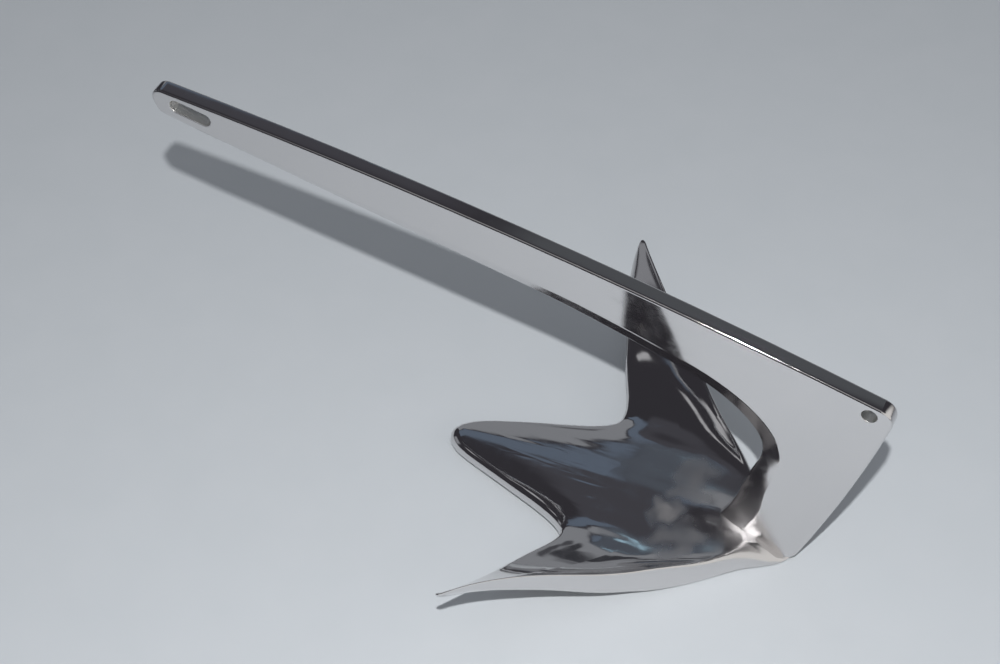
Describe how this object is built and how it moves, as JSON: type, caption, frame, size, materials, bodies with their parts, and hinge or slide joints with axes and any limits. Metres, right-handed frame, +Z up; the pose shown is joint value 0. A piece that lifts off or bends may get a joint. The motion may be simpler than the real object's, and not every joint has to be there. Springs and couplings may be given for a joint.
{
  "type": "claw anchor",
  "caption": "One-piece claw anchor: flat tapered shank with a shackle slot, wide crown plate, and a curved fluke body with a centre claw and two raised side claws.",
  "frame": {"origin": "on the surface that the anchor stands on, under the middle of its bounding box", "axes": "+X from the shackle end of the shank to the crown, +Y across the flukes, +Z up"},
  "size_m": [0.4246, 0.289, 0.213],
  "materials": {
    "stainless": "mirror-polished stainless steel"
  },
  "bodies": {
    "root": {"anchor": "stainless"}
  },
  "joints": []
}
